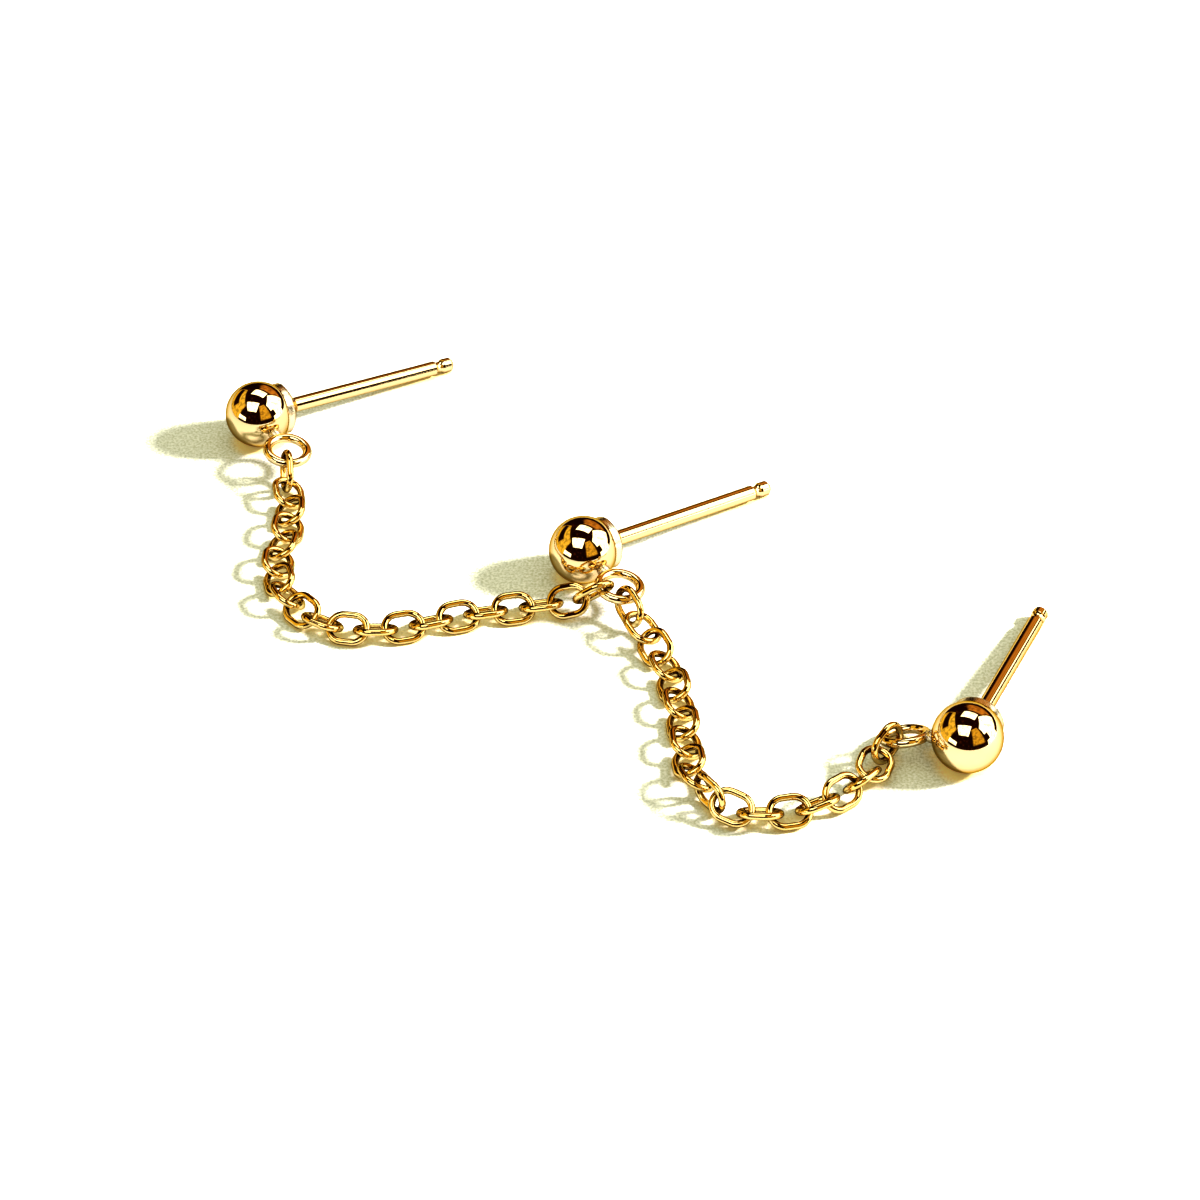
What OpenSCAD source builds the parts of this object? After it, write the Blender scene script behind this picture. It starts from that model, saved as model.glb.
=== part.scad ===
// Ear chain earring: three ball studs joined by two fine cable chains, as it lies on a table.
// Millimetres, +Z up, +X along the longest side. The origin is the middle of the footprint.

/* [Ball studs] */
// Diameter of each ball
ball_d = 4; // [3.6:0.1:4.6]
// Diameter of the cup on the back of each ball
cup_d = 3.1; // [2.4:0.1:3.2]
// Wall of the cup outside the ball
cup_wall = 0.3; // [0.2:0.05:0.4]
// Diameter of each ear post
post_d = 0.9; // [0.7:0.05:1]
// Reach of each post from the ball's centre to the end of its tip
post_reach = 13.75; // [11:0.25:15]
// Width of the weld round the root of the post
weld_w = 0.15; // [0.1:0.05:0.3]

/* [Post tip] */
// Length of the tip beyond the groove
tip_len = 0.75; // [0.5:0.05:1]
// Rise of the dome that rounds the tip
tip_dome = 0.28; // [0.15:0.01:0.32]
// Length of the groove that stops the clutch
groove_len = 0.6; // [0.4:0.05:0.8]
// Depth of the groove
groove_depth = 0.12; // [0.08:0.02:0.16]

/* [Soldered rings] */
// Outer diameter of the ring on each ball
ring_d = 2.95; // [2.8:0.05:3.2]
// Wire of the ring
ring_wire = 0.55; // [0.45:0.05:0.6]
// Space between the ball and the ring, bridged with solder
ring_stand = 0.22; // [0.1:0.02:0.3]
// How far the bead of solder laps over the ball and over the ring
solder_lap = 0.26; // [0.2:0.02:0.32]

/* [Chain links] */
// Outer length of a link
link_l = 2.62; // [2.5:0.02:2.8]
// Outer width of a link
link_w = 2.06; // [2:0.02:2.2]
// Wire of a link
link_wire = 0.4; // [0.34:0.02:0.42]
// Clear space that each link keeps from the next one along the chain
link_gap = 0.2; // [0.16:0.01:0.24]
// Lean of the links to either side
link_lean = 29; // [28:1:32]
// Height of the chain's underside above the table
table_gap = 0.03; // [0:0.01:0.1]

/* [How it lies] */
// Heading of the left post
left_heading = 32.5; // [20:0.5:45]
// Heading of the middle post
mid_heading = 35.5; // [25:0.5:45]
// Heading of the right post
right_heading = 67; // [55:0.5:80]
// Roll of the left stud's ring about its post, up from the right-hand side
left_roll = -6; // [-15:1:10]
// Roll of the middle stud's ring about its post
mid_roll = -4; // [-15:1:10]
// Roll of the right stud's ring about its post
right_roll = -163; // [-170:1:-155]
// Twist of the right stud's ring about its solder
right_twist = 12; // [0:1:20]

/* [Hidden] */
LEFT_LINKS = 20;
RIGHT_LINKS = 19;

// Routes of the two chains, each from its left-hand ring to its right-hand ring.
// Each row is a place seen from above, from the middle ball, and the rise above the resting line.
LEFT_ROUTE = [
    [-17.9, 9.0, 1.2], [-17.8, 7.7, 0.15], [-17.5, 5.8, 0], [-17.5, 3.8, 0], [-17.8, 1.8, 0],
    [-17.95, 0.2, 0], [-17.7, -1.4, 0.05], [-16.9, -3.1, 0.07], [-15.7, -4.5, 0.05],
    [-14.1, -5.4, 0], [-12.5, -5.65, 0.05], [-10.8, -5.5, 0], [-9, -5, 0], [-7, -4.35, 0],
    [-5, -3.9, 0], [-3.3, -3.55, 0], [-1.7, -3.4, 0.12], [-0.1, -3.55, 0.67], [1.3, -3.45, 1.53]
];
RIGHT_ROUTE = [
    [2.3, -3.85, 1.15], [3.05, -5.25, 0.6], [3.85, -6.7, 0.3], [4.55, -8.2, 0.05], [5.05, -9.8, 0],
    [5.35, -11.4, 0], [5.6, -13.2, 0], [5.75, -15.2, 0], [5.9, -17.2, 0.15], [6.25, -18.7, 0.35],
    [7.1, -20.2, 0.6], [8.2, -20.9, 0.1], [10, -21.2, 0.15], [11.6, -20.95, 0.05],
    [13, -20.6, 0.3], [14.4, -19.7, 0.45], [15.8, -18.3, 0.25], [16.1, -17.1, 0.1],
    [17.4, -15.4, 0.95]
];

// Links that don't lean as the rest do: the link's number from 0, and its lean
LEFT_TURNED = [[0, -74], [1, 26], [6, -32], [7, 34], [8, -32], [9, 32], [10, -31], [18, -47],
    [19, 52]];
RIGHT_TURNED = [[0, -70], [1, 17], [2, -36], [9, 31], [10, -87], [11, -30], [12, 32], [13, -30], [14, 36],
    [15, -50], [16, 50], [17, -14], [18, -78]];
// First right-hand link past the corner, where the leans change sides
RIGHT_SWAP = 11;

// Ends of the chains from the centre of the ring that holds each, in shares of the ring's radius
LEFT_START_HOOK = [0, -0.79, 0.14];
LEFT_END_HOOK = [-0.69, -0.34, 0.32];
RIGHT_START_HOOK = [0.14, -0.68, 0];
RIGHT_END_HOOK = [-0.47, -0.28, 0.51];

gold = [0.93, 0.74, 0.33];
ball_r = ball_d / 2;
post_r = post_d / 2;
cup_r = cup_d / 2;
cup_back = ball_r + cup_wall;
ring_r = (ring_d - ring_wire) / 2;
ring_reach = ball_r + ring_stand + ring_d / 2;
wire_r = link_wire / 2;
bend_r = link_w / 2 - wire_r;
half_straight = (link_l - link_w) / 2;
pitch = link_l - 4 * wire_r - link_gap;
rest_z = bend_r * sin(link_lean) + wire_r + table_gap;
dome_start = post_reach - tip_dome;
// The post tips down until the edge of its tip touches the table
dip = asin(ball_r / norm([dome_start, post_r])) - atan2(post_r, dome_start);
ROUTE_STEPS = 24;
FINE_SEGMENTS = 64;
COARSE_SEGMENTS = 24;

function two_digits(i) = str(i < 10 ? "0" : "", i);

function flat(p) = [p.x, p.y, 0];

// Smooth curve through the points of a route
function spline(a, b, c, d, t) = 0.5 * (2 * b + (c - a) * t + (2 * a - 5 * b + 4 * c - d) * t * t
    + (3 * b - a - 3 * c + d) * t * t * t);
function curve(route) =
    let (n = len(route), p = concat([2 * route[0] - route[1]], route,
        [2 * route[n - 1] - route[n - 2]]))
    concat([for (i = [0:n - 2], k = [0:ROUTE_STEPS - 1])
        spline(p[i], p[i + 1], p[i + 2], p[i + 3], k / ROUTE_STEPS)], [route[n - 1]]);
function run(points) = [for (i = 0, s = 0; i < len(points);
    i = i + 1, s = s + (i < len(points) ? norm(points[i] - points[i - 1]) : 0)) s];
function run_length(route) = let (r = run(curve(route))) r[len(r) - 1];

// Points at equal steps along a curve, where one link hands over to the next
function joints(points, count) =
    let (r = run(points), total = r[len(r) - 1])
    [for (k = [0:count]) [for (axis = [0:2])
        lookup(total * k / count, [for (i = [0:len(points) - 1]) [r[i], points[i][axis]]])]];

// Direction from a ball's centre to its ring's centre
function ring_way(heading, roll) = cos(roll) * [sin(heading), -cos(heading), 0]
    + sin(roll) * [cos(heading) * sin(dip), sin(heading) * sin(dip), cos(dip)];
function ring_centre(heading, roll) = [0, 0, ball_r] + ring_reach * ring_way(heading, roll);

// A route with its ends at the given places. One end is fixed, the rest keeps the links' pitch.
function set_heights(route, start_z, end_z) =
    let (n = len(route) - 1, first = (start_z - rest_z) / route[0].z,
        last = (end_z - rest_z) / route[n].z)
    [for (i = [0:n]) [route[i].x, route[i].y, rest_z + route[i].z * (first + (last - first) * i / n)]];
function set_plan(route, anchor, fixed, scale) =
    [for (p = route) flat(anchor) + scale * flat(p - fixed) + [0, 0, p.z]];

mid_ring = ring_centre(mid_heading, mid_roll);
left_ring_z = ring_centre(left_heading, left_roll).z;
right_ring_z = ring_centre(right_heading, right_roll).z;
left_end = mid_ring + ring_r * LEFT_END_HOOK;
right_start = mid_ring + ring_r * RIGHT_START_HOOK;
left_scale = LEFT_LINKS * pitch / run_length(LEFT_ROUTE);
right_scale = RIGHT_LINKS * pitch / run_length(RIGHT_ROUTE);
left_path = set_plan(
    set_heights(LEFT_ROUTE, left_ring_z + ring_r * LEFT_START_HOOK.z, left_end.z),
    left_end, LEFT_ROUTE[len(LEFT_ROUTE) - 1], left_scale);
right_path = set_plan(
    set_heights(RIGHT_ROUTE, right_start.z, right_ring_z + ring_r * RIGHT_END_HOOK.z),
    right_start, RIGHT_ROUTE[0], right_scale);
left_joints = joints(curve(left_path), LEFT_LINKS);
right_joints = joints(curve(right_path), RIGHT_LINKS);

// Centres of the three balls, seen from above
mid_ball = [0, 0, 0];
left_ball = flat(left_joints[0] - ring_r * LEFT_START_HOOK
    - ring_reach * ring_way(left_heading, left_roll));
right_ball = flat(right_joints[RIGHT_LINKS] - ring_r * RIGHT_END_HOOK
    - ring_reach * ring_way(right_heading, right_roll));

// Outline of the whole piece, seen from above, to set the origin
function tip_rim(ball, heading) = ball + dome_start * cos(dip) * [cos(heading), sin(heading), 0]
    + post_r * [sin(heading), cos(heading), 0];
low_x = left_ball.x - ball_r;
high_x = tip_rim(right_ball, right_heading).x;
low_y = min([for (p = right_joints) p.y]) - bend_r * cos(link_lean) - wire_r;
high_y = tip_rim(left_ball, left_heading).y;
to_origin = -[(low_x + high_x) / 2, (low_y + high_y) / 2, 0];

function own_lean(turned, i) = [for (t = turned) if (t[0] == i) t[1]];
function lean_of(turned, i, swap) = let (own = own_lean(turned, i))
    len(own) > 0 ? own[0] : (i % 2 == (i < swap ? 0 : 1) ? -link_lean : link_lean);

module wire_ring(radius, wire, turn) {
    rotate_extrude(angle = turn, $fn = FINE_SEGMENTS)
        translate([radius, 0]) circle(d = wire, $fn = COARSE_SEGMENTS);
}

// One link, flat, with its long way along X
module link() {
    for (side = [-1, 1]) {
        translate([side * half_straight, 0, 0]) rotate([0, 0, -side * 90])
            wire_ring(bend_r, link_wire, 180);
        translate([-half_straight, side * bend_r, 0]) rotate([0, 90, 0])
            cylinder(h = 2 * half_straight, r = wire_r, $fn = COARSE_SEGMENTS);
    }
}

module placed_link(points, i, lean) {
    step = points[i + 1] - points[i];
    color(gold) translate(to_origin + (points[i] + points[i + 1]) / 2)
        rotate([-lean, -asin(step.z / norm(step)), atan2(step.y, step.x)]) link();
}

// The ball, its cup, its weld and its post all turn about Z before the stud is laid down
module ball_and_cup() {
    sphere(d = ball_d, $fn = FINE_SEGMENTS);
    intersection() {
        sphere(r = cup_back, $fn = FINE_SEGMENTS);
        cylinder(h = cup_back, r = cup_r, $fn = FINE_SEGMENTS);
    }
}

module weld() {
    translate([0, 0, cup_back - weld_w])
        cylinder(h = 2 * weld_w, r1 = post_r + 2 * weld_w, r2 = post_r, $fn = COARSE_SEGMENTS);
}

// A straight post with a shallow round groove behind its domed tip
module post() {
    dome_r = (post_r * post_r + tip_dome * tip_dome) / (2 * tip_dome);
    groove_r = (groove_len * groove_len / 4 + groove_depth * groove_depth) / (2 * groove_depth);
    difference() {
        union() {
            cylinder(h = dome_start, r = post_r, $fn = COARSE_SEGMENTS);
            translate([0, 0, dome_start]) intersection() {
                translate([0, 0, tip_dome - dome_r]) sphere(r = dome_r, $fn = FINE_SEGMENTS);
                cylinder(h = 2 * tip_dome, r = post_d, $fn = COARSE_SEGMENTS);
            }
        }
        translate([0, 0, post_reach - tip_len - groove_len / 2])
            wire_ring(post_r - groove_depth + groove_r, 2 * groove_r, 360);
    }
}

// Ring and solder bead, off the -Y side of the ball before they are rolled
module soldered_ring(roll, twist) {
    rotate([-roll, 0, 0]) {
        translate([0, -ring_reach, 0]) rotate([0, -twist, 0]) wire_ring(ring_r, ring_wire, 360);
        translate([0, -(ball_r + ring_stand / 2), 0])
            sphere(r = ring_stand / 2 + solder_lap, $fn = COARSE_SEGMENTS);
    }
}

module stud(ball, heading, roll, twist) {
    color(gold) translate(to_origin + ball + [0, 0, ball_r]) rotate([0, dip, heading]) {
        rotate([0, 90, 0]) {
            ball_and_cup();
            weld();
            post();
        }
        soldered_ring(roll, twist);
    }
}

stud(left_ball, left_heading, left_roll, 0);  // stud_left
stud(mid_ball, mid_heading, mid_roll, 0);  // stud_middle
stud(right_ball, right_heading, right_roll, right_twist);  // stud_right
for (i = [0:LEFT_LINKS - 1])
    placed_link(left_joints, i, lean_of(LEFT_TURNED, i, LEFT_LINKS));
for (i = [0:RIGHT_LINKS - 1])
    placed_link(right_joints, i, lean_of(RIGHT_TURNED, i, RIGHT_SWAP));
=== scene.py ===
"""Ear chain earring in polished yellow gold, lying on white paper in bright studio light."""
import math

import bpy
from mathutils import Matrix, Vector

# Lengths are in metres and angles in degrees. Azimuth 0 is +X and 90 is away from the camera.

# The camera looks down at a point of the table
AIM = Vector((-0.0015, -0.0015, 0.0))
CAMERA_AZIMUTH = -90.0
CAMERA_ELEVATION = 40.0
CAMERA_DISTANCE = 0.2145
CAMERA_CLIP = (0.01, 20.0)
LENS_MM = 111.0
SENSOR_MM = 36.0

# Contrast of the picture: light in, light out
CONTRAST = [(0.0, 0.0), (0.04, 0.015), (0.2, 0.135), (0.45, 0.42), (0.65, 0.66), (0.85, 0.98),
            (1.0, 1.2)]
# The curve that acts on all three colours
COMBINED_CURVE = 3

# Lamps, turned to the middle of the table: azimuth, elevation, width as a share of the distance,
# colour and radiance
TABLE_MIDDLE = Vector((0.0, 0.0, 0.0))
LAMP_DISTANCE = 0.5
LAMPS = {
    "key": (3.0, 32.0, 0.17, (0.95, 0.95, 1.0), 365.0),
    "fill": (0.0, 90.0, 2.4, (0.99, 0.995, 0.69), 1.18),
}

# What the gold mirrors: patches painted one over another on the studio's walls and ceiling.
# Each has a wall's azimuth or "ceiling", a turn, its middle and half size on a wall one unit away,
# how soft its edge is, and its colour.
DARK = (0.026, 0.005, 0.001)
DUSK = (0.16, 0.05, 0.008)
WHITE = (2.5, 2.5, 2.5)
ROOM = [
    (66.0, 0.0, (0.0, 0.62), (0.38, 0.36), 0.08, (0.62, 0.29, 0.06)),
    (175.0, 0.0, (-0.45, 0.60), (0.95, 0.62), 0.06, (0.92, 0.62, 0.11)),
    (175.0, -14.0, (-0.75, 0.50), (0.62, 0.22), 0.05, DARK),
    (-147.0, 0.0, (0.04, 0.22), (0.25, 0.11), 0.02, WHITE),
    (-57.0, 0.0, (0.0, 1.15), (0.36, 0.90), 0.06, (0.74, 0.45, 0.07)),
    (5.0, 0.0, (0.05, 0.85), (0.70, 0.90), 0.03, WHITE),
    (-25.0, 0.0, (0.0, 0.42), (0.17, 0.21), 0.03, DARK),
    (47.0, 0.0, (0.0, 0.08), (0.65, 0.13), 0.03, DARK),
    ("ceiling", -14.0, (-0.36, -0.56), (0.40, 0.41), 0.02, WHITE),
    ("ceiling", -26.0, (0.07, 0.56), (0.38, 0.27), 0.02, WHITE),
]
# A patch shows only where the line of sight leans at least this much towards its wall
TOWARDS_WALL = 0.001
# Behind the patches the room goes from dark to dusk over this span of a coarse noise, and the
# same noise makes the whole room brighter and dimmer in places
ROOM_GRAIN = 7.0
ROOM_DETAIL = 2.0
DUSK_SPAN = (0.60, 0.90)
ROOM_BRIGHTNESS_SPAN = (0.35, 0.6)
ROOM_BRIGHTNESS = (0.6, 1.1)
# What a camera sees past the paper
BACKDROP = (1.0, 1.0, 0.99)

# Centres of the three balls
BALL_RADIUS = 0.002
BALLS = {
    "stud_left": (-0.02225, 0.01369, BALL_RADIUS),
    "stud_middle": (-0.00249, 0.00064, BALL_RADIUS),
    "stud_right": (0.01861, -0.01555, BALL_RADIUS),
}
# Distances from a ball's centre over which the ball ends, its cup begins and its cup ends
BALL_END = (1.002 * BALL_RADIUS, 1.004 * BALL_RADIUS)
CUP_START = (1.005 * BALL_RADIUS, 1.03 * BALL_RADIUS)
CUP_END = (1.17 * BALL_RADIUS, 1.25 * BALL_RADIUS)

# Finishes of the gold: its cool and warm tones, its tint near a grazing angle, its roughness, and
# for the painted shade in its creases and contacts how far that shade reaches and how open a place
# is where the painted shade fades
STUD_FINISH = {
    "cool": (1.0, 0.81, 0.44),
    "warm": (0.97, 0.77, 0.40),
    "edge": (0.45, 0.28, 0.04),
    "roughness": 0.04,
    "painted_shade_reach": 0.0012,
    "painted_shade_span": (0.1, 0.7),
}
CHAIN_FINISH = {
    "cool": (1.0, 0.78, 0.33),
    "warm": (0.95, 0.69, 0.24),
    "edge": (0.06, 0.02, 0.004),
    "roughness": 0.02,
    "painted_shade_reach": 0.0006,
    "painted_shade_span": (0.28, 0.86),
}
# Painted shade: near-black colour laid in creases, between links and where the gold touches the
# paper
PAINTED_CREASE_SHADE = (0.09, 0.028, 0.004)
# Pale colour of the cup: partly paler solder, partly a painted highlight
PALE_SOLDER_AND_PAINTED_HIGHLIGHT = (1.0, 0.90, 0.62)

# Noises in the gold: patches to the metre, levels of detail and the span of the noise that counts
TONE_GRAIN = 700.0
TONE_DETAIL = 3.0
TONE_SPAN = (0.3, 0.7)
MARKS_GRAIN = 3500.0
MARKS_DETAIL = 6.0
MARKS_SPAN = (0.3, 0.75)
RIPPLE_GRAIN = 5000.0
RIPPLE_DETAIL = 2.0
RIPPLE_STRENGTH = 0.25
RIPPLE_HEIGHT = 0.00001

# How many times as rough the gold is in its polishing marks
MARKS_ROUGHNESS = 2.2
# The ball's roughness and ripple beside those of its post and ring
BALL_ROUGHNESS = 0.35
BALL_RIPPLE = 0.06
# The cup is rougher by this much, and its edges are worn round
CUP_ROUGHNESS = 0.22
CUP_WEAR = 0.00022

# The paper's fine tooth, from its hollows to its flat places
PAPER_WIDTH = 4.0
PAPER_ROUGHNESS = 0.9
PAPER_SHINE = 0.1
HOLLOW_PAPER = (0.66, 0.66, 0.61)
FLAT_PAPER = (0.95, 0.95, 0.94)
TOOTH_GRAIN = 6500.0
TOOTH_DETAIL = 3.0
TOOTH_SPAN = (0.38, 0.62)
# The over-exposed paper is less bright in the gold than it is to the camera
MIRRORED_PAPER = (0.49, 0.485, 0.52)
# Painted bounce light: the paper close to the gold is painted golden and given a glow, standing in
# for the light the gold
# throws on it and lifting the shade there: how far, how open the place is where the painted tint
# and glow fade, and how strong the painted glow is
PAINTED_BOUNCE_COLOUR = (0.95, 0.72, 0.28)
PAINTED_BOUNCE_REACH = 0.0012
PAINTED_BOUNCE_TINT_SPAN = (0.3, 0.75)
PAINTED_BOUNCE_GLOW_SPAN = (0.25, 0.7)
PAINTED_BOUNCE_STRENGTH = 0.34

OPENNESS_SAMPLES = 8
# Places of the mix node's sockets by what it mixes: first input, second input and result
MIX_SOCKETS = {"VECTOR": (4, 5, 1), "RGBA": (6, 7, 2)}


def direction(azimuth, elevation):
    """Unit vector towards a place in the studio."""
    a = math.radians(azimuth)
    e = math.radians(elevation)
    return Vector((math.cos(a) * math.cos(e), math.sin(a) * math.cos(e), math.sin(e)))


def add_object(name, data):
    thing = bpy.data.objects.new(name, data)
    bpy.context.scene.collection.objects.link(thing)
    return thing


def stand_off(thing, target, azimuth, elevation, distance):
    """Place a camera or lamp away from its target and turn it towards the target."""
    back = direction(azimuth, elevation)
    thing.location = target + distance * back
    thing.rotation_euler = (-back).to_track_quat("-Z", "Y").to_euler()


def add_camera():
    data = bpy.data.cameras.new("camera")
    data.lens = LENS_MM
    data.sensor_width = SENSOR_MM
    data.clip_start, data.clip_end = CAMERA_CLIP
    camera = add_object("camera", data)
    stand_off(camera, AIM, CAMERA_AZIMUTH, CAMERA_ELEVATION, CAMERA_DISTANCE)
    bpy.context.scene.camera = camera


def add_lamps():
    """Square lamps that light the scene but aren't mirrored in the gold."""
    for name, (azimuth, elevation, share, colour, radiance) in LAMPS.items():
        data = bpy.data.lights.new(name, "AREA")
        data.shape = "SQUARE"
        data.size = LAMP_DISTANCE * share
        data.color = colour
        data.energy = radiance * math.pi * data.size ** 2
        lamp = add_object(name, data)
        stand_off(lamp, TABLE_MIDDLE, azimuth, elevation, LAMP_DISTANCE)
        lamp.visible_camera = False
        lamp.visible_glossy = False


def set_contrast():
    """The camera's contrast, as a curve over all three colours."""
    view = bpy.context.scene.view_settings
    view.view_transform = "Standard"
    view.look = "None"
    view.exposure = 0.0
    view.use_curve_mapping = True
    mapping = view.curve_mapping
    mapping.use_clip = False
    mapping.extend = "EXTRAPOLATED"
    curve = mapping.curves[COMBINED_CURVE]
    curve.points[0].location = CONTRAST[0]
    curve.points[1].location = CONTRAST[-1]
    for point in CONTRAST[1:-1]:
        curve.points.new(*point)
    mapping.update()


def opaque(colour):
    return (*colour, 1.0)


def feed(tree, target, value):
    """Feed a socket from another socket or with a plain value."""
    if isinstance(value, bpy.types.NodeSocket):
        tree.links.new(value, target)
    else:
        target.default_value = value


def calculate(tree, operation, first, second=0.0):
    node = tree.nodes.new("ShaderNodeMath")
    node.operation = operation
    feed(tree, node.inputs[0], first)
    feed(tree, node.inputs[1], second)
    return node.outputs["Value"]


def calculate_vector(tree, operation, vector, constant):
    """Combine a vector with a constant one. Only a difference is itself a vector."""
    node = tree.nodes.new("ShaderNodeVectorMath")
    node.operation = operation
    tree.links.new(vector, node.inputs[0])
    node.inputs[1].default_value = constant
    return node.outputs["Vector" if operation == "SUBTRACT" else "Value"]


def ease(tree, value, start, stop, low=0.0, high=1.0):
    """A smooth step from low at start to high at stop."""
    node = tree.nodes.new("ShaderNodeMapRange")
    node.interpolation_type = "SMOOTHSTEP"
    tree.links.new(value, node.inputs["Value"])
    node.inputs["From Min"].default_value = start
    node.inputs["From Max"].default_value = stop
    node.inputs["To Min"].default_value = low
    node.inputs["To Max"].default_value = high
    return node.outputs["Result"]


def blend(tree, kind, factor, first, second):
    """Mix two colours ("RGBA") or vectors ("VECTOR"): the first at 0 and the second at 1."""
    node = tree.nodes.new("ShaderNodeMix")
    node.data_type = kind
    first_input, second_input, result = MIX_SOCKETS[kind]
    tree.links.new(factor, node.inputs["Factor"])
    feed(tree, node.inputs[first_input], first)
    feed(tree, node.inputs[second_input], second)
    return node.outputs[result]


def shade(tree, factor, span, first, second):
    """One colour at the start of the span, another at its end and an even blend in between."""
    node = tree.nodes.new("ShaderNodeValToRGB")
    for element, place, colour in zip(node.color_ramp.elements, span, (first, second)):
        element.position = place
        element.color = opaque(colour)
    tree.links.new(factor, node.inputs["Fac"])
    return node.outputs["Color"]


def noise(tree, coords, grain, detail):
    node = tree.nodes.new("ShaderNodeTexNoise")
    node.inputs["Scale"].default_value = grain
    node.inputs["Detail"].default_value = detail
    tree.links.new(coords, node.inputs["Vector"])
    return node.outputs["Fac"]


def openness(tree, reach):
    """How free a place is of other surfaces within reach: 0 is closed in and 1 is open."""
    node = tree.nodes.new("ShaderNodeAmbientOcclusion")
    node.samples = OPENNESS_SAMPLES
    node.inputs["Distance"].default_value = reach
    return node.outputs["AO"]


def wall_axes(wall):
    """Directions towards a wall, across it and up it."""
    if wall == "ceiling":
        return Vector((0, 0, 1)), Vector((1, 0, 0)), Vector((0, 1, 0))
    return direction(wall, 0), direction(wall + 90, 0), Vector((0, 0, 1))


def paint_patch(tree, sight, below, patch):
    """Lay one patch of the room over the colours below it."""
    wall, turn, middle, half, soft, colour = patch
    facing, across, up = wall_axes(wall)
    centre = middle[0] * across + middle[1] * up
    spin = Matrix.Rotation(math.radians(turn), 3, facing)
    depth = calculate_vector(tree, "DOT_PRODUCT", sight, facing)
    mask = calculate(tree, "GREATER_THAN", depth, TOWARDS_WALL)
    for axis, size in ((spin @ across, half[0]), (spin @ up, half[1])):
        reach = calculate_vector(tree, "DOT_PRODUCT", sight, axis)
        place = calculate(tree, "DIVIDE", reach, depth)
        distance = calculate(tree, "ABSOLUTE",
                             calculate(tree, "SUBTRACT", place, centre.dot(axis)))
        inside = ease(tree, distance, size + soft, size - soft)
        mask = calculate(tree, "MULTIPLY", mask, inside)
    return blend(tree, "RGBA", mask, below, opaque(colour))


def background(tree, colour, strength):
    node = tree.nodes.new("ShaderNodeBackground")
    feed(tree, node.inputs["Color"], colour)
    feed(tree, node.inputs["Strength"], strength)
    return node.outputs["Background"]


def add_world():
    """The room that the gold mirrors, and a pale backdrop where a camera looks past the paper."""
    world = bpy.data.worlds.new("studio")
    bpy.context.scene.world = world
    world.use_nodes = True
    world.cycles_visibility.diffuse = False
    tree = world.node_tree
    tree.nodes.clear()
    sight = tree.nodes.new("ShaderNodeTexCoord").outputs["Generated"]
    grain = noise(tree, sight, ROOM_GRAIN, ROOM_DETAIL)
    colour = shade(tree, grain, DUSK_SPAN, DARK, DUSK)
    for patch in ROOM:
        colour = paint_patch(tree, sight, colour, patch)
    brightness = ease(tree, grain, *ROOM_BRIGHTNESS_SPAN, *ROOM_BRIGHTNESS)
    mix = tree.nodes.new("ShaderNodeMixShader")
    seen = tree.nodes.new("ShaderNodeLightPath").outputs["Is Camera Ray"]
    tree.links.new(seen, mix.inputs["Fac"])
    tree.links.new(background(tree, colour, brightness), mix.inputs[1])
    tree.links.new(background(tree, opaque(BACKDROP), 1.0), mix.inputs[2])
    output = tree.nodes.new("ShaderNodeOutputWorld")
    tree.links.new(mix.outputs["Shader"], output.inputs["Surface"])


def start_material(name):
    """A new material, its node tree and the inputs of its shader."""
    material = bpy.data.materials.new(name)
    material.use_nodes = True
    tree = material.node_tree
    return material, tree, tree.nodes["Principled BSDF"].inputs


def round_normal(tree, coords, centre):
    """The true normal of a ball, without the facets of its mesh."""
    turned = tree.nodes.new("ShaderNodeVectorTransform")
    turned.vector_type = "NORMAL"
    turned.convert_from = "OBJECT"
    turned.convert_to = "WORLD"
    tree.links.new(calculate_vector(tree, "SUBTRACT", coords, centre), turned.inputs["Vector"])
    return turned.outputs["Vector"]


def stud_normal(tree, coords, ball, on_ball, on_cup):
    """Truly round on the ball, worn at the edges of the cup, and plain on the post and ring."""
    plain = tree.nodes.new("ShaderNodeNewGeometry").outputs["Normal"]
    worn = tree.nodes.new("ShaderNodeBevel")
    worn.inputs["Radius"].default_value = CUP_WEAR
    smooth = blend(tree, "VECTOR", on_ball, plain, round_normal(tree, coords, ball))
    return blend(tree, "VECTOR", on_cup, smooth, worn.outputs["Normal"])


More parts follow.
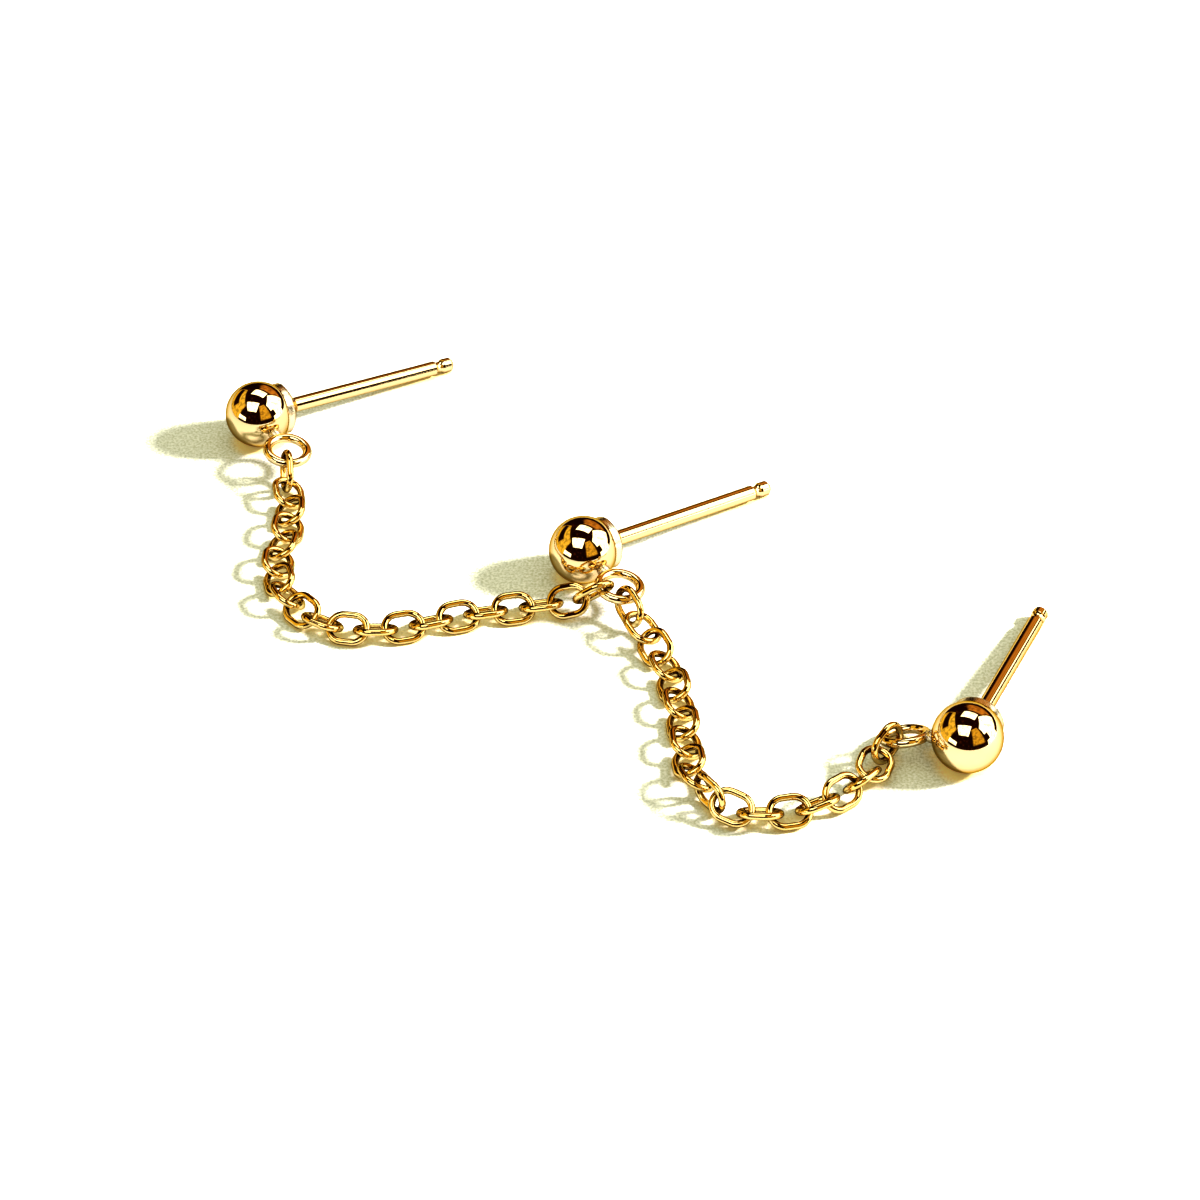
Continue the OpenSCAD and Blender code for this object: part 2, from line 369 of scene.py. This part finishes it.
def gold(name, finish, ball=None):
    """Polished gold: a slightly uneven tone, fine polishing marks, a faint surface ripple and
    painted shade in its creases.

    Given a ball's centre, the ball is the brightest, its cup is pale and dull, the pale colour
    partly solder and partly a painted highlight, and the post and ring lie in between.
    """
    material, tree, shader = start_material(name)
    coords = tree.nodes.new("ShaderNodeTexCoord").outputs["Object"]
    tone = noise(tree, coords, TONE_GRAIN, TONE_DETAIL)
    colour = shade(tree, tone, TONE_SPAN, finish["warm"], finish["cool"])
    marks = noise(tree, coords, MARKS_GRAIN, MARKS_DETAIL)
    roughness = ease(tree, marks, *MARKS_SPAN,
                     finish["roughness"], MARKS_ROUGHNESS * finish["roughness"])
    ripple = noise(tree, coords, RIPPLE_GRAIN, RIPPLE_DETAIL)
    bump = tree.nodes.new("ShaderNodeBump")

    if ball:
        distance = calculate_vector(tree, "DISTANCE", coords, ball)
        on_ball = ease(tree, distance, BALL_END[1], BALL_END[0])
        on_cup = calculate(tree, "MULTIPLY",
                           ease(tree, distance, *CUP_START),
                           ease(tree, distance, CUP_END[1], CUP_END[0]))
        # The cup is painted pale: partly the solder's colour, partly a painted highlight
        colour = blend(tree, "RGBA", on_cup, colour, opaque(PALE_SOLDER_AND_PAINTED_HIGHLIGHT))
        roughness = calculate(tree, "MULTIPLY", roughness,
                              ease(tree, distance, *CUP_END, BALL_ROUGHNESS, 1.0))
        roughness = calculate(tree, "ADD", roughness,
                              calculate(tree, "MULTIPLY", on_cup, CUP_ROUGHNESS))
        ripple = calculate(tree, "MULTIPLY", ripple,
                           ease(tree, distance, *CUP_END, BALL_RIPPLE, 1.0))
        tree.links.new(stud_normal(tree, coords, ball, on_ball, on_cup), bump.inputs["Normal"])

    bump.inputs["Strength"].default_value = RIPPLE_STRENGTH
    bump.inputs["Distance"].default_value = RIPPLE_HEIGHT
    tree.links.new(ripple, bump.inputs["Height"])
    # Painted shade: the gold turns near black where other surfaces close it in, between links and
    # against the paper
    unshaded = ease(tree, openness(tree, finish["painted_shade_reach"]), *finish["painted_shade_span"])
    shader["Metallic"].default_value = 1.0
    shader["Specular Tint"].default_value = opaque(finish["edge"])
    tree.links.new(blend(tree, "RGBA", unshaded, opaque(PAINTED_CREASE_SHADE), colour), shader["Base Color"])
    tree.links.new(roughness, shader["Roughness"])
    tree.links.new(bump.outputs["Normal"], shader["Normal"])
    return material


def paper():
    """White paper with a fine tooth that shows only in the shadows, painted golden and glowing
    near the gold as painted bounce light.
    """
    material, tree, shader = start_material("paper")
    coords = tree.nodes.new("ShaderNodeTexCoord").outputs["Object"]
    tooth = noise(tree, coords, TOOTH_GRAIN, TOOTH_DETAIL)
    white = shade(tree, tooth, TOOTH_SPAN, HOLLOW_PAPER, FLAT_PAPER)
    # Painted bounce light: a golden tint and a glow on the paper where the gold closes it in
    free = openness(tree, PAINTED_BOUNCE_REACH)
    colour = blend(tree, "RGBA", ease(tree, free, *PAINTED_BOUNCE_TINT_SPAN), opaque(PAINTED_BOUNCE_COLOUR), white)
    painted_glow = ease(tree, free, PAINTED_BOUNCE_GLOW_SPAN[1], PAINTED_BOUNCE_GLOW_SPAN[0], 0.0, PAINTED_BOUNCE_STRENGTH)
    mirrored = tree.nodes.new("ShaderNodeLightPath").outputs["Is Glossy Ray"]
    colour = blend(tree, "RGBA", mirrored, colour, opaque(MIRRORED_PAPER))
    shader["Roughness"].default_value = PAPER_ROUGHNESS
    shader["Specular IOR Level"].default_value = PAPER_SHINE
    shader["Emission Color"].default_value = opaque(PAINTED_BOUNCE_COLOUR)
    tree.links.new(painted_glow, shader["Emission Strength"])
    tree.links.new(colour, shader["Base Color"])
    return material


def add_paper():
    half = PAPER_WIDTH / 2
    mesh = bpy.data.meshes.new("paper")
    corners = [(-half, -half, 0), (half, -half, 0), (half, half, 0), (-half, half, 0)]
    mesh.from_pydata(corners, [], [(0, 1, 2, 3)])
    mesh.materials.append(paper())
    sheet = add_object("paper", mesh)


def dress_nodes(nodes):
    """Give each stud its own gold, because the gold knows the ball's place, and all links one."""
    chain_gold = gold("chain_polish", CHAIN_FINISH)
    for name, node in nodes.items():
        if name in BALLS:
            node.material_slots[0].material = gold(name + "_polish", STUD_FINISH, BALLS[name])
        else:
            node.material_slots[0].material = chain_gold


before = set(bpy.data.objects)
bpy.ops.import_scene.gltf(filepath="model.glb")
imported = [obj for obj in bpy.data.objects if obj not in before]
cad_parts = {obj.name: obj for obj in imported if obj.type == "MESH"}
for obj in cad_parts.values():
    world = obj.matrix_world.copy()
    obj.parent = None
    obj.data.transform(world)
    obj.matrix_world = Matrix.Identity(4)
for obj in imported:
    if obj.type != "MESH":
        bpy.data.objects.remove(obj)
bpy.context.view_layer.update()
add_camera()
add_paper()
add_lamps()
add_world()
dress_nodes(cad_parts)
set_contrast()
